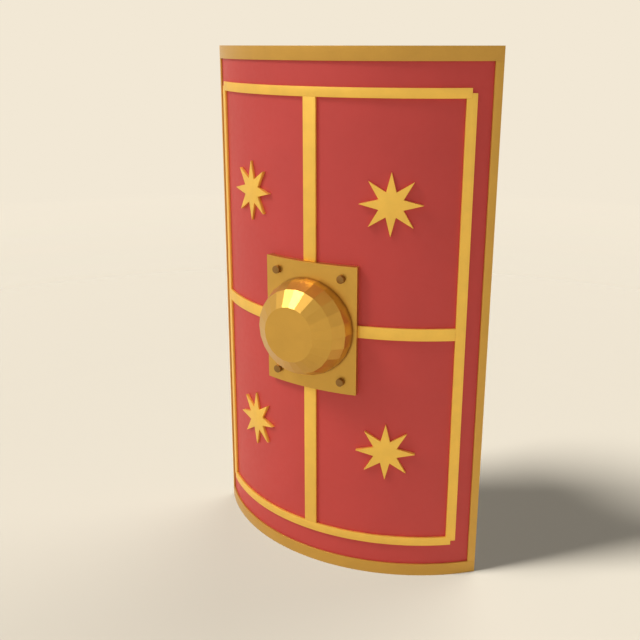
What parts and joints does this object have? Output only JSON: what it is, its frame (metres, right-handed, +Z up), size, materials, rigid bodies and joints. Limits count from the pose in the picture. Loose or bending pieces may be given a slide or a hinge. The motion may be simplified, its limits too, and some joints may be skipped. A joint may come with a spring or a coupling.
{
  "type": "roman scutum shield",
  "caption": "Tall curved rectangular shield with a brass rim, raised strips and stars, and a domed boss over a hand grip.",
  "frame": {"origin": "on the ground, under the middle of the shield's box, with the shield standing on its bottom rim", "axes": "+Z up along the shield's height, -Y the way the painted front and the boss face, +X to the right of someone who looks at the front"},
  "size_m": [0.638, 0.2278, 1.06],
  "materials": {
    "board_wood": "bare plywood, light brown, worn smooth",
    "red_hide": "hide glued on the board and painted red, satin",
    "gilt_wood": "carved wood, painted golden yellow, satin",
    "rim_brass": "brushed brass, satin",
    "boss_brass": "planished brass, polished facets",
    "rivet_bronze": "dark bronze, worn",
    "grip_wood": "oiled dark wood"
  },
  "bodies": {
    "root": {"board": "board_wood", "facing": "red_hide", "boss": "boss_brass", "grip": "grip_wood", "rim_top": "rim_brass", "border_top": "gilt_wood", "rim_bottom": "rim_brass", "border_bottom": "gilt_wood", "rim_left": "rim_brass", "border_left": "gilt_wood", "rim_right": "rim_brass", "border_right": "gilt_wood", "cross_upper": "gilt_wood", "cross_lower": "gilt_wood", "cross_left": "gilt_wood", "cross_right": "gilt_wood", "star_upper_left": "gilt_wood", "rivet_upper_left": "rivet_bronze", "star_upper_right": "gilt_wood", "rivet_upper_right": "rivet_bronze", "star_lower_left": "gilt_wood", "rivet_lower_left": "rivet_bronze", "star_lower_right": "gilt_wood", "rivet_lower_right": "rivet_bronze", "grip_nail_left": "rivet_bronze", "grip_nail_right": "rivet_bronze"}
  },
  "joints": []
}
